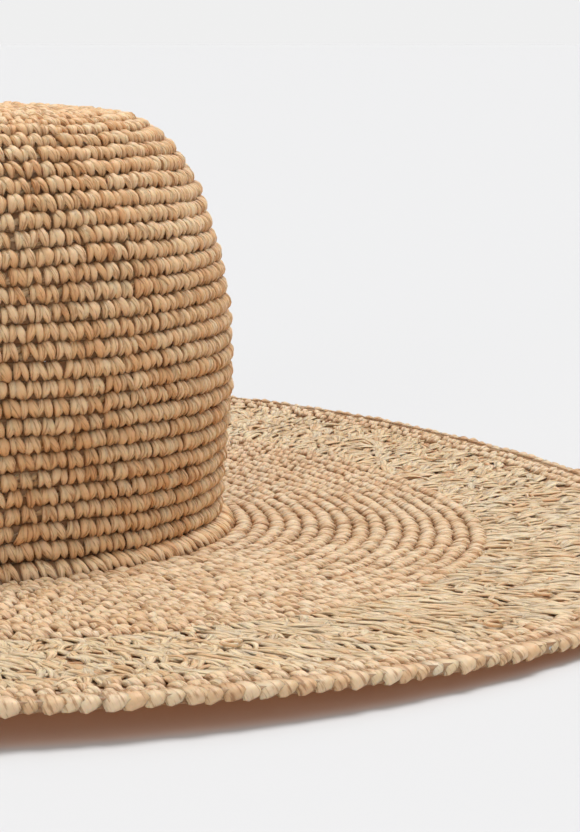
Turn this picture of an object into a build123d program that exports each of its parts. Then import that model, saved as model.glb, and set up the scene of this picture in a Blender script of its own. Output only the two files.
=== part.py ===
"""Crocheted raffia sun hat with a wide brim, standing crown up on its brim.

Millimetres, +Z up. The origin is on the surface that the hat rests on, under the crown's axis.
Angles round the hat are measured from -Y (the front), turning towards +X.
The yarn runs on from round to round, so each crocheted node is one zone of the fabric.
"""

from build123d import *
from math import cos, pi, radians, sin
import os

# Head
HEAD_R = 90.7  # inside of the sweatband: a head 570 mm round

# Crown, by the grooves between its rounds: radius, and height above the brim's inner edge
CROWN_BASE_R = 94.4
CROWN_BASE_Z = 3.1
CROWN_WIDEST_R = 98.0
CROWN_WIDEST_Z = 56.0
CROWN_RIM_R = 62.0  # where the shoulder runs out into the flat top
CROWN_RIM_Z = 136.0
CROWN_DIP_Z = 137.0  # the middle of the top, a little below the ring round it
CROWN_T = 3.0  # fabric at a groove
RIB = 1.3  # how far a round stands proud of its grooves
SIDE_ROUNDS = 15
SHOULDER_ROUNDS = 10
TIP_ROUNDS = 11
START_HOLE_R = 1.2  # hole in the ring that the first round is worked into

# Brim, by the outer radius of each zone
TURN_R = 99.4
PLAIN_R = 183.4
LACE_R = 236.0
BORDER_R = 247.2
BRIM_R = 254.6
BRIM_T = 4.2
EDGE_T = 5.0
SECTIONS_PER_HALF = 13  # loft sections round each half of the brim

# The brim's edge rises and falls round the hat: its mean, then (cosine, sine) of each harmonic
EDGE_MEAN = 0.91
EDGE_WAVE = [(-2.08, 1.51), (4.71, -1.82), (-0.2, 1.85), (0.93, -0.85)]
EASE = 0.6  # how much steeper the brim leaves the crown than a straight slope would

# Flat brim wire and the crimped sleeve that joins its ends at the back: width, thickness
WIRE = (1.6, 0.8)
SLEEVE = (2.6, 1.8)
SLEEVE_LENGTH = 14.0

# Sweatband: a ribbon ring, sewn through near its lower edge, with a tape behind its seam
BAND_T = 0.7
BAND_HEIGHT = 25.0
BAND_DROP = 2.0  # how far the band hangs below the brim's inner edge
TAPE_LENGTH = 16.0
TAPE_T = 0.35
TAPE_HEIGHT = 12.0  # up to the band's top edge, where the crown stands clear of the band
STITCHES = 60
STITCH_LENGTH = 5.0
STITCH_T = 0.3
STITCH_WIDTH = 0.6
STITCH_MARGIN = 2.5  # from the band's edge to its stitches

# Size label: a blank ribbon that hangs from a hem sewn to the crown's inside, at the back
LABEL_WIDTH = 22.0
LABEL_DROP = 30.0
LABEL_T = 0.4
LABEL_Y = 92.4
HINGE_ABOVE_BAND = 40.0
HEM_R = 92.2
HEM_T = 2.2  # folded over, and as far as the crown's inside
HEM_HEIGHT = 3.4
HEM_GAP = 0.6

# Knotted raffia ends that stand on the lace band: (angle in degrees, radius)
KNOTS = [(21, 210.0), (41, 230.0), (53, 219.0), (118, 212.0), (176, 226.0), (251, 209.0), (312, 221.0)]
KNOT_R = 2.4
KNOT_YARN_R = 0.8
KNOT_LIFT = 0.25  # clears the slope under a knot


def edge_rise(angle):
    """How far the brim's edge lies above its inner edge, at an angle round the hat."""
    harmonics = enumerate(EDGE_WAVE, start=1)
    return EDGE_MEAN + sum(c * cos(k * angle) + s * sin(k * angle) for k, (c, s) in harmonics)


BRIM_MID_Z = EDGE_T / 2 - min(edge_rise(radians(degrees)) for degrees in range(360))
BRIM_TOP_Z = BRIM_MID_Z + BRIM_T / 2
BAND_Z = BRIM_TOP_Z - BAND_DROP
HINGE_Z = BAND_Z + BAND_HEIGHT + HINGE_ABOVE_BAND


def place(angle, r, z):
    return (r * sin(angle), -r * cos(angle), z)


def brim_height(angle, r, r_end=None):
    """Height of the brim's mid-surface; with r_end, of the control point between the two radii."""
    s_a, s_b = [(radius - TURN_R) / (BRIM_R - TURN_R) for radius in (r, r_end or r)]
    share = (1 + EASE) * (s_a + s_b) / 2 - EASE * s_a * s_b
    return BRIM_MID_Z + edge_rise(angle) * share


def brim_curve(angle, r_in, r_out, offset):
    """A radial line of the brim, a parabola, at a height above its mid-surface."""
    middle = (r_in + r_out) / 2
    return Bezier(
        place(angle, r_in, brim_height(angle, r_in) + offset),
        place(angle, middle, brim_height(angle, r_in, r_out) + offset),
        place(angle, r_out, brim_height(angle, r_out) + offset),
    )


def band_section(angle, r_in, r_out):
    """One radial cut through a zone of the brim."""
    low = brim_curve(angle, r_in, r_out, -BRIM_T / 2)
    high = brim_curve(angle, r_in, r_out, BRIM_T / 2)
    return Wire([low, Line(low @ 1, high @ 1), high, Line(high @ 0, low @ 0)])


def edge_section(angle):
    """The edge round: as thick as the border where they join, and rolled outside."""
    join_z = brim_height(angle, BORDER_R)
    roll_z = brim_height(angle, BRIM_R)
    roll_r = BRIM_R - EDGE_T / 2
    join_low = place(angle, BORDER_R, join_z - BRIM_T / 2)
    join_high = place(angle, BORDER_R, join_z + BRIM_T / 2)
    roll_low = place(angle, roll_r, roll_z - EDGE_T / 2)
    roll_high = place(angle, roll_r, roll_z + EDGE_T / 2)
    roll = ThreePointArc(roll_low, place(angle, BRIM_R, roll_z), roll_high)
    return Wire([Line(join_low, roll_low), roll, Line(roll_high, join_high), Line(join_high, join_low)])


def wire_section(angle, width, thickness):
    """A flat strip in the middle of the edge round."""
    r_in = BRIM_R - (EDGE_T + width) / 2
    z = brim_height(angle, BRIM_R)
    corners = [(r_in, -1), (r_in + width, -1), (r_in + width, 1), (r_in, 1)]
    points = [place(angle, r, z + side * thickness / 2) for r, side in corners]
    return Wire([Line(a, b) for a, b in zip(points, points[1:] + points[:1])])


def loft_arc(section, start, end, steps):
    turns = [start + (end - start) * i / (steps - 1) for i in range(steps)]
    return Solid.make_loft([section(angle) for angle in turns])


def loft_ring(section):
    """A closed ring round the hat, from two halves that meet at the front and the back."""
    halves = [loft_arc(section, start, start + pi, SECTIONS_PER_HALF) for start in (0, pi)]
    return halves[0].fuse(halves[1])


def crown_line():
    """The crown's outline through its grooves, from its base to the middle of its top."""
    side = [(CROWN_BASE_R, CROWN_BASE_Z), (94.8, 23), (CROWN_WIDEST_R, 34), (CROWN_WIDEST_R, CROWN_WIDEST_Z)]
    shoulder = [side[-1], (CROWN_WIDEST_R, 83), (88.5, 132.5), (CROWN_RIM_R, CROWN_RIM_Z)]
    top = [shoulder[-1], (32, 140), (13, CROWN_DIP_Z), (0, CROWN_DIP_Z)]
    return Wire([Bezier(*[(r, 0, BRIM_TOP_Z + z) for r, z in run]) for run in (side, shoulder, top)])


def crown_grooves():
    """Pairs of points on the fabric's two faces, at both ends of every round."""
    line = crown_line()
    pitch = line.length / (SIDE_ROUNDS + SHOULDER_ROUNDS + TIP_ROUNDS + 1)
    grooves = []
    for i in range(SIDE_ROUNDS + SHOULDER_ROUNDS + TIP_ROUNDS + 1):
        outside = line.position_at(i * pitch, PositionMode.LENGTH)
        along = line.tangent_at(i * pitch, PositionMode.LENGTH)
        grooves.append((outside, outside + Vector(-along.Z, 0, along.X) * CROWN_T))
    return grooves


def crown_zone(grooves, first, count):
    """A run of rounds turned about the axis, with one rib for each round outside."""
    zone = grooves[first : first + count + 1]
    outline = []
    for (a, _), (b, _) in zip(zone, zone[1:]):
        along = (b - a).normalized()
        outline.append(ThreePointArc(a, (a + b) / 2 + Vector(along.Z, 0, -along.X) * RIB, b))
    inside = [behind for _, behind in reversed(zone)]
    corners = [zone[-1][0], *inside, zone[0][0]]
    outline += [Line(a, b) for a, b in zip(corners, corners[1:])]
    return revolve(Face(Wire(outline)), Axis.Z)


def start_ring(grooves):
    """The ring at the middle of the top that the first round is worked into."""
    outside, inside = grooves[-1]
    hole_top = Vector(START_HOLE_R, 0, outside.Z)
    hole_bottom = Vector(START_HOLE_R, 0, inside.Z)
    crest = (outside + hole_top) / 2 + Vector(0, 0, RIB / 2)
    outline = [
        ThreePointArc(outside, crest, hole_top),
        Line(hole_top, hole_bottom),
        Line(hole_bottom, inside),
        Line(inside, outside),
    ]
    return revolve(Face(Wire(outline)), Axis.Z)


def turning_round(grooves):
    """The round that turns the crown's fabric outwards into the brim."""
    outside, inside = grooves[0]
    brim_top = Vector(TURN_R, 0, BRIM_TOP_Z)
    brim_bottom = Vector(TURN_R, 0, BRIM_TOP_Z - BRIM_T)
    crest = (outside + brim_top) / 2 + Vector(1, 0, 1).normalized() * RIB / 2
    under = (inside + brim_bottom) / 2 + Vector(-1, 0, -1).normalized() * RIB / 2
    outline = [
        ThreePointArc(outside, crest, brim_top),
        Line(brim_top, brim_bottom),
        ThreePointArc(brim_bottom, under, inside),
        Line(inside, outside),
    ]
    return revolve(Face(Wire(outline)), Axis.Z)


def hoop(r_in, r_out, z_low, z_high, degrees=360.0):
    """A band of rectangular section; a part turn is centred on the back of the hat."""
    corners = [(r_in, 0, z_low), (r_out, 0, z_low), (r_out, 0, z_high), (r_in, 0, z_high)]
    section = Face(Wire([Line(a, b) for a, b in zip(corners, corners[1:] + corners[:1])]))
    return Rot(0, 0, 90 - degrees / 2) * revolve(section, Axis.Z, degrees)


def arc_degrees(length, r):
    return length / r * 180 / pi


def sweatband_stitches():
    """Thread on the ribbon's outer face, between it and the fabric that it is sewn to."""
    z = BAND_Z + STITCH_MARGIN
    r = HEAD_R + BAND_T
    stitch = hoop(r, r + STITCH_T, z, z + STITCH_WIDTH, arc_degrees(STITCH_LENGTH, r))
    return [Rot(0, 0, 360 * i / STITCHES) * stitch for i in range(STITCHES)]


def save(node, shape):
    solids = [solid for item in (shape if isinstance(shape, list) else [shape]) for solid in item.solids()]
    export_step(Compound(children=solids), f"parts/{node}.step")
    print(f"{node}: {len(solids)} solids, {sum(solid.volume for solid in solids):.0f} mm3")


def save_crown():
    grooves = crown_grooves()
    save("crown_side", crown_zone(grooves, 0, SIDE_ROUNDS))
    save("crown_shoulder", crown_zone(grooves, SIDE_ROUNDS, SHOULDER_ROUNDS))
    save("crown_tip", crown_zone(grooves, SIDE_ROUNDS + SHOULDER_ROUNDS, TIP_ROUNDS))
    save("start_ring", start_ring(grooves))
    save("turning_round", turning_round(grooves))


def save_brim():
    zones = [
        ("brim_plain_rounds", TURN_R, PLAIN_R),
        ("brim_lace_band", PLAIN_R, LACE_R),
        ("brim_border_rounds", LACE_R, BORDER_R),
    ]
    for node, r_in, r_out in zones:
        save(node, loft_ring(lambda angle: band_section(angle, r_in, r_out)))

    half_sleeve = SLEEVE_LENGTH / BRIM_R / 2
    wire = loft_ring(lambda angle: wire_section(angle, *WIRE))
    sleeve = loft_arc(lambda angle: wire_section(angle, *SLEEVE), pi - half_sleeve, pi + half_sleeve, 3)
    save("brim_wire", wire)
    save("brim_wire_sleeve", sleeve.cut(wire))
    save("brim_edge_round", loft_ring(edge_section).cut(wire, sleeve))
    save("raffia_knots", raffia_knots())


def raffia_knots():
    knots = []
    for degrees, r in KNOTS:
        angle = radians(degrees)
        z = brim_height(angle, r) + BRIM_T / 2 + KNOT_YARN_R + KNOT_LIFT
        knots.append(Pos(*place(angle, r, z)) * Torus(KNOT_R, KNOT_YARN_R))
    return knots


def save_lining():
    band_r, band_top = HEAD_R + BAND_T, BAND_Z + BAND_HEIGHT
    tape_turn = arc_degrees(TAPE_LENGTH, band_r)
    save("sweatband", hoop(HEAD_R, band_r, BAND_Z, band_top))
    save("sweatband_stitches", sweatband_stitches())
    save("seam_tape", hoop(band_r, band_r + TAPE_T, band_top - TAPE_HEIGHT, band_top, tape_turn))

    hem_turn = arc_degrees(LABEL_WIDTH, HEM_R)
    save("label_hem", hoop(HEM_R, HEM_R + HEM_T, HINGE_Z + HEM_GAP, HINGE_Z + HEM_HEIGHT, hem_turn))
    save("size_label", Pos(0, LABEL_Y, HINGE_Z - LABEL_DROP / 2) * Box(LABEL_WIDTH, LABEL_T, LABEL_DROP))


def main():
    os.makedirs("parts", exist_ok=True)
    save_crown()
    save_brim()
    save_lining()
    print(f"brim's inner edge at {BRIM_TOP_Z:.2f}, band from {BAND_Z:.2f}, label hinge at {HINGE_Z:.2f}")


main()
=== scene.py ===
"""Looks of the crocheted raffia sun hat: every stitch and strand is modelled round by round.

Lengths are millimetres until a mesh is made, then metres. Angles are measured from -Y towards +X.
A surface maps (angle, distance along the fabric, height above it) to a point of the hat.
"""

from math import pi, radians

import bpy
import numpy as np
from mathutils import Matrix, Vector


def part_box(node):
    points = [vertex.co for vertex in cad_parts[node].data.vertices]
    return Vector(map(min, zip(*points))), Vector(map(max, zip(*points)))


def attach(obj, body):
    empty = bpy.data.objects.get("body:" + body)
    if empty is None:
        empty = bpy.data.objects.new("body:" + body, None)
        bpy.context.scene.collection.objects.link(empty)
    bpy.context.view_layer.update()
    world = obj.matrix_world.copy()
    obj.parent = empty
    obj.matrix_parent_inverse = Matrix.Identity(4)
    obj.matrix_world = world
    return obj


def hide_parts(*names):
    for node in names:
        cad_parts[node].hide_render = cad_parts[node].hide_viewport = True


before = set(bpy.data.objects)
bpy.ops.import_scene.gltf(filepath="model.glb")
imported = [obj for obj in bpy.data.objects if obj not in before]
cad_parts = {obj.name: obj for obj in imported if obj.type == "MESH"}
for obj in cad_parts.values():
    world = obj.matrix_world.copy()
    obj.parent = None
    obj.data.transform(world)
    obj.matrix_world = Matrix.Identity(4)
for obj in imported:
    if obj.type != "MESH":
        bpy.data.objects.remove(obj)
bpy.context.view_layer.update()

MM = 0.001
TAU = 2 * pi
RNG = np.random.default_rng(23)

# Sizes shared with the CAD model
CROWN_BASE_R, CROWN_BASE_Z = 94.4, 3.1
CROWN_RUNS = [
    [(CROWN_BASE_R, CROWN_BASE_Z), (94.8, 23), (98, 34), (98, 56)],
    [(98, 56), (98, 83), (88.5, 132.5), (62, 136)],
    [(62, 136), (32, 140), (13, 137), (0, 137)],
]
CROWN_ROUNDS = 36
SIDE_ROUNDS, SHOULDER_ROUNDS = 15, 10
TURN_R, PLAIN_R, LACE_R, BORDER_R, BRIM_R = 99.4, 183.4, 236.0, 247.2, 254.6
BRIM_T = 4.2
EDGE_MEAN = 0.91
EDGE_WAVE = [(-2.08, 1.51), (4.71, -1.82), (-0.2, 1.85), (0.93, -0.85)]
EASE = 0.6
HEAD_R, BAND_T, BAND_HEIGHT, BAND_DROP = 90.7, 0.7, 25.0, 2.0
KNOTS = [(21, 210.0), (41, 230.0), (53, 219.0), (118, 212.0), (176, 226.0), (251, 209.0), (312, 221.0)]
TOP_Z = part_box("sweatband")[0][2] / MM + BAND_DROP  # the brim's top face where it leaves the crown

# Yarn
STITCH = 5.5
PLAIN_ROUNDS = 15
LACE_ROUNDS = 7
BORDER_ROUNDS = 2
EDGE_LOOP = 5.1  # pitch of the loops along the edge
START_R = 3.6  # of the stitches worked into the start ring
TURN_OUTER_R, TURN_INNER_R = 98.0, 94.0  # where the turning round's stitches are counted

# Camera and floor
LENS, SENSOR = 108.5, 36.0
CAMERA_BACK, CAMERA_UP = 0.8357, 0.1588  # metres from the crown's axis and above the brim's top face
CAMERA_DOWN, CAMERA_RIGHT = 8.47, 8.08  # degrees below level, and to the right of the crown's axis
FLOOR_R = 200.0  # metres, as far as the horizon
FLOOR_COLOUR = (0.645, 0.645, 0.65)
SKY = [(0.0, 0.92), (0.05, 0.92), (0.12, 0.20), (0.9, 1.0)]  # height of the direction, brightness
SKY_STRENGTH = 0.94


# ---------------------------------------------------------------- surfaces

def bezier(points, t):
    p = np.array(points, float)
    u = 1 - t
    weights = [u**3, 3 * u * u * t, 3 * u * t * t, t**3]
    return sum(w[:, None] * q for w, q in zip(weights, p))


def crown_outline():
    """Arc length, points and outward normals along the crown, from its base to its centre."""
    t = np.linspace(0, 1, 200)
    line = np.concatenate([bezier(run, t) for run in CROWN_RUNS])
    keep = np.r_[True, np.hypot(*np.diff(line, axis=0).T) > 1e-6]
    line = line[keep]
    length = np.r_[0, np.cumsum(np.hypot(*np.diff(line, axis=0).T))]
    along = np.gradient(line, length, axis=0)
    along /= np.linalg.norm(along, axis=1)[:, None]
    return length, line, np.stack([along[:, 1], -along[:, 0]], 1)


LENGTH, LINE, NORMAL = crown_outline()
ROW = LENGTH[-1] / (CROWN_ROUNDS + 1)


def to_xyz(angle, r, z):
    return np.stack([r * np.sin(angle), -r * np.cos(angle), z + np.zeros_like(r)], -1)


def crown(angle, v, h):
    """v runs up the crown from its base and on to its centre; h is outwards."""
    v = v + 0.35 * np.sin(3 * angle + v / 17) + 0.25 * np.sin(7 * angle - v / 11)
    r = np.interp(v, LENGTH, LINE[:, 0]) + h * np.interp(v, LENGTH, NORMAL[:, 0])
    z = np.interp(v, LENGTH, LINE[:, 1]) + h * np.interp(v, LENGTH, NORMAL[:, 1])
    return to_xyz(angle, r, z + TOP_Z)


def edge_rise(angle):
    return EDGE_MEAN + sum(
        c * np.cos(k * angle) + s * np.sin(k * angle) for k, (c, s) in enumerate(EDGE_WAVE, start=1)
    )


def brim(angle, v, h):
    """v is the radius; h is upwards from the brim's top face."""
    s = (v - TURN_R) / (BRIM_R - TURN_R)
    rise = edge_rise(angle)
    slope = rise * (1 + EASE - 2 * EASE * s) / (BRIM_R - TURN_R)
    z = TOP_Z + rise * ((1 + EASE) * s - EASE * s * s)
    return to_xyz(angle, v - slope * h, z + h)


def turn(angle, v, h):
    """v runs from the crown's base (0) out to the brim (ROW) round the turn; h is outwards."""
    bend = np.clip(v / ROW, -0.3, 1.3)
    lean = bend * pi / 2 * 0.9
    r = CROWN_BASE_R + (TURN_R - CROWN_BASE_R) * bend + h * np.cos(lean)
    z = CROWN_BASE_Z * (1 - bend) + h * np.sin(lean)
    return to_xyz(angle, r, z + TOP_Z)


# ---------------------------------------------------------------- mesh building

class Yarn:
    """Collects strands and rings, then makes one mesh of them."""

    def __init__(self):
        self.points, self.quads, self.tris, self.tone, self.depth, self.uv = [], [], [], [], [], []
        self.count = 0

    def add(self, points, quads, tris, tone, depth, uv):
        self.points.append(points)
        self.quads.append(quads + self.count)
        self.tris.append(tris + self.count)
        self.tone.append(tone)
        self.depth.append(depth)
        self.uv.append(uv)
        self.count += len(points)

    def strands(self, path, normal, width, thick, tone, depth, sides=6, crease=0.16):
        """Flattened strands. path and normal are (strands, steps, 3); width and thick are half sizes."""
        n, m, _ = path.shape
        along = np.gradient(path, axis=1)
        along /= np.linalg.norm(along, axis=2, keepdims=True) + 1e-9
        side = np.cross(along, normal)
        side /= np.linalg.norm(side, axis=2, keepdims=True) + 1e-9
        up = np.cross(side, along)
        around = np.arange(sides) / sides * TAU
        fold = 1 + RNG.uniform(-crease, crease, (n, 1, sides))
        across = np.cos(around) * fold * width[..., None]
        over = np.sin(around) * fold * thick[..., None]
        rings = path[:, :, None] + side[:, :, None] * across[..., None] + up[:, :, None] * over[..., None]
        per = m * sides + 2
        points = np.concatenate([rings.reshape(n, m * sides, 3), path[:, :1], path[:, -1:]], 1)
        first = (np.arange(n) * per)[:, None]
        k = np.arange(sides)
        rows = np.arange(m - 1)[:, None] * sides
        corner = [rows + k, rows + (k + 1) % sides, rows + sides + (k + 1) % sides, rows + sides + k]
        quad = np.stack([c.ravel() for c in corner], -1)
        last = (m - 1) * sides
        start_cap = np.stack([k * 0 + m * sides, (k + 1) % sides, k], -1)
        end_cap = np.stack([k * 0 + m * sides + 1, last + k, last + (k + 1) % sides], -1)
        tri = np.concatenate([start_cap, end_cap])
        run = np.linalg.norm(np.diff(path, axis=1), axis=2).cumsum(1)
        run = np.concatenate([np.zeros((n, 1)), run], 1) + RNG.uniform(0, 900, (n, 1))
        uv = np.stack(np.broadcast_arrays(k / sides * 6.0, run[..., None]), -1).reshape(n, m * sides, 2)
        uv = np.concatenate([uv, uv[:, :1], uv[:, -1:]], 1)
        tones = np.repeat(tone, per)
        # The shade depth of each step: how far it takes the painted shade colour
        depths = np.repeat(np.broadcast_to(depth, (n, m)), sides, axis=1).reshape(n, m * sides)
        depths = np.concatenate([depths, depths[:, :1], depths[:, -1:]], 1)
        self.add(
            points.reshape(-1, 3),
            (quad[None] + first[..., None]).reshape(-1, 4),
            (tri[None] + first[..., None]).reshape(-1, 3),
            tones, depths.ravel(), uv.reshape(-1, 2),
        )

    def ring(self, surface, v_a, v_b, h_low, h_high, steps):
        """A closed band behind the stitches, between two distances along the fabric, in full painted shade:
        a dark sheet that fills the gaps where shade falls.
        """
        angle = np.arange(steps) / steps * TAU
        corners = [(v_a, h_low), (v_b, h_low), (v_b, h_high), (v_a, h_high)]
        rings = np.stack([surface(angle, angle * 0 + v, angle * 0 + h) for v, h in corners], 1)
        k, j = np.meshgrid(np.arange(4), np.arange(steps))
        following, beside = (j + 1) % steps, (k + 1) % 4
        quad = np.stack([j * 4 + k, j * 4 + beside, following * 4 + beside, following * 4 + k], -1)
        points = rings.reshape(-1, 3)
        n = len(points)
        uv = np.stack([np.tile(np.arange(4.0), steps), np.repeat(angle * 100, 4)], -1)
        # Shade depth 1: the whole band takes the painted shade colour
        self.add(points, quad.reshape(-1, 4), np.zeros((0, 3), int), np.full(n, 0.5), np.ones(n), uv)

    def piece(self, name, material, nodes, body="root"):
        points = np.concatenate(self.points) * MM
        quads, tris = np.concatenate(self.quads), np.concatenate(self.tris)
        mesh = bpy.data.meshes.new(name)
        mesh.vertices.add(len(points))
        mesh.vertices.foreach_set("co", points.ravel())
        corners = np.concatenate([quads.ravel(), tris.ravel()])
        mesh.loops.add(len(corners))
        mesh.loops.foreach_set("vertex_index", corners)
        mesh.polygons.add(len(quads) + len(tris))
        starts = np.r_[np.arange(len(quads)) * 4, len(quads) * 4 + np.arange(len(tris)) * 3]
        mesh.polygons.foreach_set("loop_start", starts)
        mesh.polygons.foreach_set("use_smooth", np.ones(len(starts), bool))
        mesh.update(calc_edges=True)
        mesh.validate()
        for label, values in (("tone", self.tone), ("depth", self.depth)):
            mesh.attributes.new(label, "FLOAT", "POINT").data.foreach_set("value", np.concatenate(values))
        layer = mesh.uv_layers.new(name="strand")
        layer.data.foreach_set("uv", np.concatenate(self.uv)[corners].ravel())
        mesh.materials.append(material)
        made = bpy.data.objects.new(name, mesh)
        bpy.context.scene.collection.objects.link(made)
        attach(made, body)
        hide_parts(*nodes)


# ---------------------------------------------------------------- crochet

def stitches(yarn, surface, radius, v_top, v_foot, relief=1.0, lean=0.14, part=0.26):
    """One round seen from its right side: each stitch is two plump legs that part towards its foot."""
    count = max(6, round(TAU * radius / STITCH))
    pitch = TAU * radius / count
    t = np.linspace(0, 1, 7)[None]
    height = v_foot - v_top
    places = np.arange(count)[:, None] + RNG.uniform(0, 1) + RNG.normal(0, 0.045, (count, 1))
    size = np.clip(RNG.normal(1, 0.08, (count, 1)), 0.85, 1.15)
    lift = RNG.normal(0, 0.2, (count, 1))
    tone = RNG.uniform(0, 1, count)
    tilt = RNG.normal(lean, 0.14, (count, 1))
    arch = np.sin(pi * (0.02 + 0.96 * t)) ** 0.8
    swell = np.sin(pi * (0.33 + 0.58 * t))
    for leg in (-1, 1):
        x = leg * (0.09 + part * t**1.2) + (t - 0.5) * tilt + RNG.normal(0, 0.04, (count, 1))
        v = v_top + height * (0.04 + 0.95 * t) + RNG.normal(0, 0.2, (count, 1)) * np.sign(height)
        over = 0.38 * leg * (1 - t)
        h = -2.75 + relief * 2.15 * arch * size + (1 - relief) * 1.4 + lift + over
        angle, v, h = np.broadcast_arrays((places + x) * (TAU / count), v, h)
        path = surface(angle, v, h)
        normal = surface(angle, v, h + 1) - path
        width = pitch * (0.04 + 0.25 * swell) * size * RNG.normal(1, 0.08, (count, 1))
        thick = (0.35 + 0.85 * swell) * RNG.normal(1, 0.08, (count, 1))
        shade = tone * 0.6 + RNG.uniform(0, 0.4, count)
        yarn.strands(path, normal, width, thick, shade, 1 - arch, crease=0.26)


def back_bumps(yarn, surface, radius, v_mid, base, reach):
    """The same round seen from its wrong side: one short bar across each stitch."""
    count = max(6, round(TAU * radius / STITCH))
    t = np.linspace(0, 1, 5)
    places = np.arange(count) + RNG.uniform(0, 1) + RNG.normal(0, 0.07, count)
    angle = (places[:, None] + (t[None] - 0.5) * 1.15) * (TAU / count)
    v = v_mid + reach * (t[None] - 0.5) + RNG.normal(0, 0.2, (count, 1))
    h = -(base + 0.8 * np.sin(pi * t[None])) + 0 * v
    angle, v, h = np.broadcast_arrays(angle, v, h)
    path = surface(angle, v, h)
    normal = surface(angle, v, h - 1) - path
    swell = 0.55 + 0.45 * np.sin(pi * t[None])
    wide = swell * 1.9 * RNG.normal(1, 0.08, (count, 1))
    yarn.strands(path, normal, wide, swell * 0.85 + 0 * wide, RNG.uniform(0, 1, count), 1 - swell, sides=5)


def make_crown(material):
    zones = ["crown_side"] * SIDE_ROUNDS + ["crown_shoulder"] * SHOULDER_ROUNDS
    for i in range(CROWN_ROUNDS):
        zone = zones[i] if i < len(zones) else "crown_tip"
        radius = np.interp((i + 0.5) * ROW, LENGTH, LINE[:, 0])
        yarn = Yarn()
        stitches(yarn, crown, radius, (i + 1) * ROW, i * ROW)
        back_bumps(yarn, crown, radius, (i + 0.5) * ROW, base=2.0, reach=2.6)
        yarn.ring(crown, (i + 0.02) * ROW, (i + 0.98) * ROW, -3.0, -2.1, max(24, round(radius * 1.2)))
        yarn.piece(f"crown_round_{i + 1:02d}", material, [zone])
    yarn = Yarn()
    stitches(yarn, crown, START_R, CROWN_ROUNDS * ROW + 4.6, CROWN_ROUNDS * ROW - 0.6)
    back_bumps(yarn, crown, START_R, (CROWN_ROUNDS + 0.4) * ROW, base=2.0, reach=1.5)
    yarn.ring(crown, CROWN_ROUNDS * ROW, CROWN_ROUNDS * ROW + 4.4, -2.4, -1.2, 24)
    yarn.piece("start_ring_stitches", material, ["start_ring"])


def make_turn(material):
    yarn = Yarn()
    stitches(yarn, turn, TURN_OUTER_R, -0.2, ROW, relief=0.8)
    back_bumps(yarn, turn, TURN_INNER_R, ROW * 0.5, base=2.3, reach=2.0)
    yarn.ring(turn, 0.0, ROW, -3.0, -2.0, 140)
    yarn.piece("turning_round_stitches", material, ["turning_round"])


def brim_round(name, material, node, r_in, r_out, part=0.2):
    yarn = Yarn()
    middle = (r_in + r_out) / 2
    stitches(yarn, brim, middle, r_in, r_out, relief=0.62, lean=0.34, part=part)
    back_bumps(yarn, brim, middle, middle, base=BRIM_T - 1.5, reach=2.4)
    yarn.ring(brim, r_in + 0.1, r_out - 0.1, -3.1, -1.9, round(middle * 1.2))
    yarn.piece(name, material, [node])


def make_brim(material):
    step = (PLAIN_R - TURN_R) / PLAIN_ROUNDS
    for i in range(PLAIN_ROUNDS):
        r = TURN_R + i * step
        brim_round(f"brim_round_{i + 1:02d}", material, "brim_plain_rounds", r, r + step)
    step = (BORDER_R - LACE_R) / BORDER_ROUNDS
    for i in range(BORDER_ROUNDS):
        r = LACE_R + i * step
        brim_round(f"border_round_{i + 1}", material, "brim_border_rounds", r, r + step, part=0.14)


def lace_fans(yarn, r_in, r_out, level, flip, gap, strands):
    """Fans of long strands: each starts together near the crown and spreads outwards."""
    middle = (r_in + r_out) / 2
    count = round(TAU * middle / gap)
    t = np.linspace(0, 1, 6)[None]
    places = np.arange(count)[:, None] + RNG.uniform(0, 1) + RNG.normal(0, 0.16, (count, 1))
    tone = RNG.uniform(0, 1, count)
    slant = RNG.normal(0.55, 0.7, (count, 1))
    start = RNG.normal(-1.5, 1.6, (count, 1))
    end = RNG.normal(1.5, 1.6, (count, 1))
    for k in range(strands):
        fan = (k - (strands - 1) / 2) / strands
        root = RNG.normal(0, 0.06, (count, 1)) + fan * 0.3
        tip = fan * 1.4 + RNG.normal(0, 0.22, (count, 1))
        bow = RNG.normal(0, 0.24, (count, 1))
        x = root + (tip - root) * t**1.2 + slant * (t - 0.3) + bow * np.sin(pi * t)
        from_r = r_in + start + RNG.normal(0, 0.7, (count, 1))
        to_r = r_out + end + RNG.normal(0, 0.9, (count, 1))
        v = from_r + (to_r - from_r) * t
        arch = np.sin(pi * (0.02 + 0.96 * t))
        h = level + flip * (RNG.uniform(0.2, 0.9, (count, 1)) * arch + RNG.normal(0, 0.12, (count, 1)))
        angle, v, h = np.broadcast_arrays((places + x) * (TAU / count), v, h)
        path = brim(angle, v, h)
        normal = (brim(angle, v, h + 1) - path) * flip
        width = RNG.uniform(0.7, 1.7, (count, 1)) * (0.45 + 0.55 * arch)
        thick = RNG.uniform(0.32, 0.5, (count, 1)) * (0.6 + 0.4 * arch)
        shade = tone * 0.5 + RNG.uniform(0, 0.5, count)
        yarn.strands(path, normal, width, thick, shade, 0.6 - 0.6 * arch, sides=5, crease=0.22)


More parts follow.
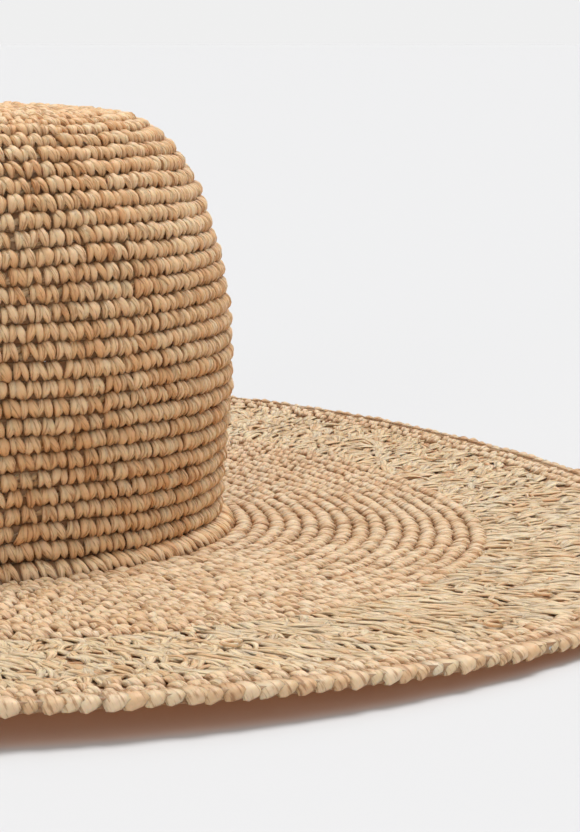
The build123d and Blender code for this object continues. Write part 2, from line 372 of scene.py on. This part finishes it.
def lace_chain(yarn, r, level):
    """The loops that each row of fans is worked into: short uneven bars along the round."""
    count = round(TAU * r / 6.0)
    t = np.linspace(0, 1, 6)[None]
    for side in (-1, 1):
        places = np.arange(count)[:, None] + RNG.uniform(0, 1) + RNG.normal(0, 0.2, (count, 1))
        wander = RNG.normal(0, 1.2, (count, 1)) + RNG.normal(0, 3.0, (count, 1)) * (t - 0.5)
        arch = np.sin(pi * t)
        v = r + side * 0.8 + wander
        h = level + 0.8 * arch + RNG.normal(0, 0.3, (count, 1))
        angle, v, h = np.broadcast_arrays((places + (t - 0.5) * 1.2) * (TAU / count), v, h)
        path = brim(angle, v, h)
        normal = brim(angle, v, h + 1) - path
        swell = 0.5 + 0.5 * arch
        width = swell * RNG.uniform(0.6, 1.2, (count, 1))
        thick = 0.6 * swell * np.ones((count, 1))
        yarn.strands(path, normal, width, thick, RNG.uniform(0, 1, count), 0.5 - 0.3 * arch, sides=5)


def make_lace(material):
    step = (LACE_R - PLAIN_R) / LACE_ROUNDS
    for i in range(LACE_ROUNDS):
        r = PLAIN_R + i * step
        yarn = Yarn()
        lace_fans(yarn, r, r + step, level=-1.5, flip=1, gap=6.2, strands=5)
        lace_fans(yarn, r, r + step, level=-2.7, flip=-1, gap=6.4, strands=3)
        lace_chain(yarn, r + 0.4, -2.2)
        # A band in painted shade behind each lace row, so its holes read dark
        yarn.ring(brim, r - 0.05, r + step + 0.05, -2.4, -1.7, 300)
        yarn.piece(f"lace_row_{i + 1}", material, ["brim_lace_band"])


def make_knots(material):
    yarn = Yarn()
    t = np.linspace(0, 1, 16)
    for degrees, r in KNOTS:
        turns = 1.25 * TAU * t
        loop = 2.3 + 0.4 * np.sin(turns * 2)
        angle = radians(degrees) + loop * np.cos(turns) / r
        v = r + loop * np.sin(turns) * 0.85
        h = -0.2 + 1.3 * t
        path = brim(angle, v, h)
        normal = brim(angle, v, h + 1) - path
        swell = (0.5 + 0.5 * np.sin(pi * t)) * 0.75
        tone = RNG.uniform(0.3, 0.9, 1)
        yarn.strands(path[None], normal[None], swell[None], swell[None] * 0.8, tone, 0 * t[None])
    yarn.piece("raffia_knot_loops", material, ["raffia_knots"])


def make_edge(material):
    """The edge round: plump loops laid over the brim's rim, each leaning on the next."""
    count = round(TAU * BRIM_R / EDGE_LOOP)
    t = np.linspace(0, 1, 11)[None]
    places = np.arange(count)[:, None] + RNG.normal(0, 0.06, (count, 1))
    size = np.clip(RNG.normal(1, 0.06, (count, 1)), 0.85, 1.1)
    sweep = pi * (0.03 + 0.94 * t)
    reach = BRIM_R - BORDER_R - 1.6
    v = BORDER_R + 0.3 + reach * np.sin(sweep) ** 0.6 * size
    h = -BRIM_T / 2 + 1.45 * np.cos(sweep) * size
    angle, v, h = np.broadcast_arrays((places + 0.42 * (t - 0.4)) * (TAU / count), v, h)
    path = brim(angle, v, h)
    core_r = BORDER_R + reach * 0.35
    normal = path - brim(angle, v * 0 + core_r, h * 0 - BRIM_T / 2)
    normal /= np.linalg.norm(normal, axis=2, keepdims=True)
    swell = np.sin(pi * (0.15 + 0.7 * t))
    width = (1.8 + 0.95 * swell) * size * RNG.normal(1, 0.08, (count, 1))
    thick = (0.5 + 0.4 * swell) * size
    yarn = Yarn()
    depth = 0.8 - 0.8 * swell + 0 * size
    yarn.strands(path, normal, width, thick, RNG.uniform(0, 1, count), depth, crease=0.22)
    yarn.ring(brim, BORDER_R - 0.3, BRIM_R - 1.7, -BRIM_T / 2 - 1.3, -BRIM_T / 2 + 1.3, 320)
    yarn.piece("edge_round_loops", material, ["brim_edge_round"])


# ---------------------------------------------------------------- materials

class Nodes:
    """Short names for building one material's node tree."""

    def __init__(self, name):
        self.material = bpy.data.materials.new(name)
        self.material.use_nodes = True
        self.tree = self.material.node_tree
        self.shader = self.tree.nodes["Principled BSDF"]

    def add(self, kind, inputs=None, **settings):
        node = self.tree.nodes.new(kind)
        for key, value in settings.items():
            setattr(node, key, value)
        for key, value in (inputs or {}).items():
            if isinstance(value, bpy.types.NodeSocket):
                self.tree.links.new(value, node.inputs[key])
            else:
                node.inputs[key].default_value = value
        return node

    def math(self, operation, a, b=0.0):
        return self.add("ShaderNodeMath", {0: a, 1: b}, operation=operation).outputs[0]

    def ramp(self, value, stops):
        node = self.add("ShaderNodeValToRGB", {0: value})
        ramp = node.color_ramp
        while len(ramp.elements) < len(stops):
            ramp.elements.new(0.5)
        for element, (position, colour) in zip(ramp.elements, stops):
            element.position = position
            element.color = (*colour, 1)
        return node.outputs[0]

    def mix(self, kind, factor, a, b):
        node = self.add("ShaderNodeMix", data_type="RGBA", blend_type=kind)
        for socket, value in ((0, factor), (6, a), (7, b)):
            if isinstance(value, bpy.types.NodeSocket):
                self.tree.links.new(value, node.inputs[socket])
            else:
                node.inputs[socket].default_value = value
        return node.outputs[2]

    def surface(self, colour, roughness, height=None, strength=0.5, distance=0.0004):
        if isinstance(colour, bpy.types.NodeSocket):
            self.tree.links.new(colour, self.shader.inputs["Base Color"])
        else:
            self.shader.inputs["Base Color"].default_value = (*colour, 1)
        self.shader.inputs["Roughness"].default_value = roughness
        if height is not None:
            bump = self.add("ShaderNodeBump", {"Strength": strength, "Distance": distance, "Height": height})
            self.tree.links.new(bump.outputs[0], self.shader.inputs["Normal"])
        return self.material


def raffia(name, pale, straw, warm, shadow):
    """Folded palm fibre: pale and warm strands, fine streaks along each with painted shade in their creases
    and a painted highlight on their ridges, and painted shade where the strand dips.
    """
    n = Nodes(name)
    tone = n.add("ShaderNodeAttribute", attribute_name="tone").outputs["Fac"]
    depth = n.add("ShaderNodeAttribute", attribute_name="depth").outputs["Fac"]
    uv = n.add("ShaderNodeUVMap", uv_map="strand").outputs[0]
    stretched = n.add("ShaderNodeMapping", {"Vector": uv, "Scale": (1.3, 0.11, 1)}).outputs[0]
    fine = {"Vector": stretched, "Scale": 1.5, "Detail": 4.0, "Roughness": 0.6}
    streaks = n.add("ShaderNodeTexNoise", fine)
    blotch = n.add("ShaderNodeTexNoise", {"Scale": 28.0, "Detail": 3.0})
    position = n.add("ShaderNodeTexCoord").outputs["Object"]
    n.tree.links.new(position, blotch.inputs["Vector"])
    base = n.ramp(tone, [(0.0, warm), (0.35, straw), (0.75, pale), (1.0, straw)])
    # Streaks along each strand: partly the fibre's own grain, partly painted shade in its fine creases and a
    # painted highlight, above white, on the ridges between them
    streak_grain_and_light = [(0.38, (0.42, 0.29, 0.18)), (0.47, (0.95, 0.94, 0.92)), (0.75, (1.1, 1.1, 1.1))]
    line = n.ramp(streaks.outputs[0], streak_grain_and_light)
    colour = n.mix("MULTIPLY", 0.75, base, line)
    patch = n.ramp(blotch.outputs[0], [(0.3, (0.84, 0.78, 0.70)), (0.65, (1.0, 1.0, 1.0))])
    colour = n.mix("MULTIPLY", 0.6, colour, patch)
    # Painted shade: each point is mixed towards the shadow colour by its shade depth, darkest where strands
    # dip into the fabric
    colour = n.mix("MIX", n.math("MULTIPLY", depth, 0.72), colour, (*shadow, 1))
    n.shader.inputs["Subsurface Weight"].default_value = 0.3
    n.shader.inputs["Subsurface Radius"].default_value = (1.0, 0.5, 0.25)
    n.shader.inputs["Subsurface Scale"].default_value = 0.002
    n.shader.inputs["Specular IOR Level"].default_value = 0.4
    return n.surface(colour, 0.48, streaks.outputs[0], strength=0.7, distance=0.0006)


def ribbon(name, colour, ribs):
    """Grosgrain: fine ribs across the ribbon, with painted shade in the troughs between them."""
    n = Nodes(name)
    position = n.add("ShaderNodeTexCoord").outputs["Object"]
    parts = n.add("ShaderNodeSeparateXYZ", {0: position})
    angle = n.math("ARCTAN2", parts.outputs[1], parts.outputs[0])
    wave = n.math("SINE", n.math("MULTIPLY", angle, ribs))
    noise = n.add("ShaderNodeTexNoise", {"Vector": position, "Scale": 900.0, "Detail": 2.0})
    height = n.math("ADD", wave, n.math("MULTIPLY", noise.outputs[0], 0.8))
    # Painted shade: the colour darkens where the rib wave dips
    shade = n.ramp(n.math("MULTIPLY_ADD", wave, 0.5), [(0.0, tuple(c * 0.8 for c in colour)), (1.0, colour)])
    n.shader.inputs["Sheen Weight"].default_value = 0.2
    return n.surface(shade, 0.7, height, strength=0.4, distance=0.0002)


def thread(name, colour):
    n = Nodes(name)
    position = n.add("ShaderNodeTexCoord").outputs["Object"]
    twist = n.add("ShaderNodeTexWave", {"Vector": position, "Scale": 1100.0, "Distortion": 1.5})
    # Painted shade: the colour darkens in the grooves of the twist
    shade = n.ramp(twist.outputs[1], [(0.0, tuple(c * 0.65 for c in colour)), (1.0, colour)])
    return n.surface(shade, 0.75, twist.outputs[1], strength=0.5, distance=0.0002)


def metal(name, colour, roughness):
    n = Nodes(name)
    scratches = n.add("ShaderNodeTexNoise", {"Scale": 700.0, "Detail": 4.0})
    shade = n.ramp(scratches.outputs[0], [(0.3, tuple(c * 0.8 for c in colour)), (0.7, colour)])
    n.shader.inputs["Metallic"].default_value = 1.0
    return n.surface(shade, roughness, scratches.outputs[0], strength=0.1, distance=0.0001)


def plain_stage(name, colour):
    n = Nodes(name)
    return n.surface(colour, 0.9)


# ---------------------------------------------------------------- lining

def ribbon_grid(name, rows, material, nodes, body, thickness):
    """A closed thin sheet through a grid of points, with its thickness added on both sides."""
    grid = np.array(rows) * MM
    m, n, _ = grid.shape
    a, b = np.meshgrid(np.arange(m - 1), np.arange(n - 1), indexing="ij")
    quad = np.stack([a * n + b, a * n + b + 1, (a + 1) * n + b + 1, (a + 1) * n + b], -1).reshape(-1, 4)
    mesh = bpy.data.meshes.new(name)
    mesh.from_pydata(grid.reshape(-1, 3).tolist(), [], quad.tolist())
    mesh.materials.append(material)
    made = bpy.data.objects.new(name, mesh)
    bpy.context.scene.collection.objects.link(made)
    made.modifiers.new("thickness", "SOLIDIFY").thickness = thickness * MM
    made.modifiers["thickness"].offset = 0
    mesh.polygons.foreach_set("use_smooth", np.ones(len(quad), bool))
    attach(made, body)
    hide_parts(*nodes)
    return made


def make_lining(ribbon_material, label_material, thread_material):
    low = TOP_Z - BAND_DROP
    middle_r = HEAD_R + BAND_T / 2
    angle = np.linspace(0, TAU, 361) + pi
    heights = np.linspace(0.1, BAND_HEIGHT - 0.1, 9)
    rows = [to_xyz(angle, middle_r + 0.12 * np.sin(angle * 23 + z / 5), low + z) for z in heights]
    band = ribbon_grid(
        "sweatband_ribbon", rows, ribbon_material, ["sweatband"], "root", 0.4
    )

    (x0, y0, z0), (x1, y1, z1) = [np.array(corner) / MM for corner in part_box("size_label")]
    width, drop = x1 - x0, z1 - z0
    xs = np.linspace(x0, x1, 12)
    rows = []
    for share in np.linspace(0, 1, 16):
        ys = (y0 + y1) / 2 + 0.25 * np.sin(pi * share) * np.cos(xs / 9)
        rows.append(np.stack([xs, ys, xs * 0 + z1 - share * drop], -1))
    label = ribbon_grid("label_ribbon", rows, label_material, ["size_label"], "label", 0.25)
    for node, material in (("seam_tape", ribbon_material), ("label_hem", label_material),
                           ("sweatband_stitches", thread_material)):
        dress(node, material)


def dress(node, material):
    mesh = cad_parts[node].data
    mesh.materials.clear()
    mesh.materials.append(material)


# ---------------------------------------------------------------- stage

def make_stage():
    """A pale floor to the horizon, under soft light that comes mostly from above."""
    floor_mesh("floor", FLOOR_R, plain_stage("floor_paper", FLOOR_COLOUR))

    world = bpy.data.worlds.new("studio")
    world.use_nodes = True
    tree = world.node_tree
    coordinates = tree.nodes.new("ShaderNodeTexCoord")
    parts = tree.nodes.new("ShaderNodeSeparateXYZ")
    ramp = tree.nodes.new("ShaderNodeValToRGB")
    tree.links.new(coordinates.outputs["Generated"], parts.inputs[0])
    tree.links.new(parts.outputs[2], ramp.inputs[0])
    for _ in range(len(SKY) - 2):
        ramp.color_ramp.elements.new(0.5)
    for element, (position, level) in zip(ramp.color_ramp.elements, SKY):
        element.position = position
        element.color = (level, level, level, 1)
    tree.links.new(ramp.outputs[0], tree.nodes["Background"].inputs[0])
    tree.nodes["Background"].inputs[1].default_value = SKY_STRENGTH
    bpy.context.scene.world = world
    bpy.context.scene.view_settings.view_transform = "Standard"

    sun = bpy.data.lights.new("overhead", "SUN")
    sun.energy = 2.1
    sun.angle = radians(28)
    place_light(sun, (0, 0, 1), (radians(-14), radians(16), 0))

    # A weak level light from the camera's side, which the upright crown takes and the floor hardly does
    fill = bpy.data.lights.new("front_fill", "SUN")
    fill.energy = 0.3
    fill.angle = radians(20)
    place_light(fill, (0, 0, 1), (radians(80), 0, radians(-25)))

    # A stage light in place of daylight through the straw: the modelled brim lets hardly any through
    under = bpy.data.lights.new("light_through_straw", "AREA")
    under.shape = "DISK"
    under.size = 2 * (BRIM_R - 3) * MM
    under.energy = 0.1
    under.color = (1.0, 0.40, 0.17)
    place_light(under, (0, 0, 0.0015), (0, 0, 0))


def place_light(light, location, rotation):
    made = bpy.data.objects.new(light.name, light)
    made.location = location
    made.rotation_euler = rotation
    bpy.context.scene.collection.objects.link(made)


def floor_mesh(name, radius, material):
    steps = 96
    points = [(radius * np.cos(k * TAU / steps), radius * np.sin(k * TAU / steps), 0) for k in range(steps)]
    mesh = bpy.data.meshes.new(name)
    mesh.from_pydata(points, [], [tuple(range(steps))])
    mesh.materials.append(material)
    made = bpy.data.objects.new(name, mesh)
    bpy.context.scene.collection.objects.link(made)


def make_camera():
    data = bpy.data.cameras.new("camera")
    data.lens = LENS
    data.sensor_width = SENSOR
    camera = bpy.data.objects.new("camera", data)
    camera.location = (0, -CAMERA_BACK, TOP_Z * MM + CAMERA_UP)
    camera.rotation_euler = (radians(90 - CAMERA_DOWN), 0, radians(-CAMERA_RIGHT))
    bpy.context.scene.collection.objects.link(camera)
    bpy.context.scene.camera = camera


make_camera()
make_stage()
# Three copies of one raffia, each with its own painted light: the crown's copy is warmer and brighter,
# standing in for light bounced between its strands, and has the darkest painted shade; the brim's copy is
# less saturated; the lace's copy has the lightest painted shade
raffia_lit_for_crown = raffia("raffia", pale=(0.95, 0.69, 0.43), straw=(0.89, 0.58, 0.32), warm=(0.80, 0.46, 0.22),
               shadow=(0.16, 0.055, 0.014))
raffia_lit_for_brim = raffia("raffia_brim", pale=(0.86, 0.66, 0.45), straw=(0.80, 0.57, 0.35), warm=(0.72, 0.46, 0.26),
              shadow=(0.27, 0.12, 0.045))
raffia_lit_for_lace = raffia("raffia_lace", pale=(0.92, 0.71, 0.48), straw=(0.86, 0.61, 0.37), warm=(0.76, 0.46, 0.25),
               shadow=(0.34, 0.15, 0.06))
make_crown(raffia_lit_for_crown)
make_turn(raffia_lit_for_crown)
make_brim(raffia_lit_for_brim)
make_lace(raffia_lit_for_lace)
make_knots(raffia_lit_for_lace)
make_edge(raffia_lit_for_brim)
make_lining(ribbon("grosgrain", (0.52, 0.38, 0.24), 700), ribbon("label_satin", (0.78, 0.73, 0.64), 2400),
            thread("sewing_thread", (0.62, 0.47, 0.3)))
dress("brim_wire", metal("drawn_wire", (0.55, 0.55, 0.54), 0.35))
dress("brim_wire_sleeve", metal("crimped_sleeve", (0.7, 0.7, 0.7), 0.3))
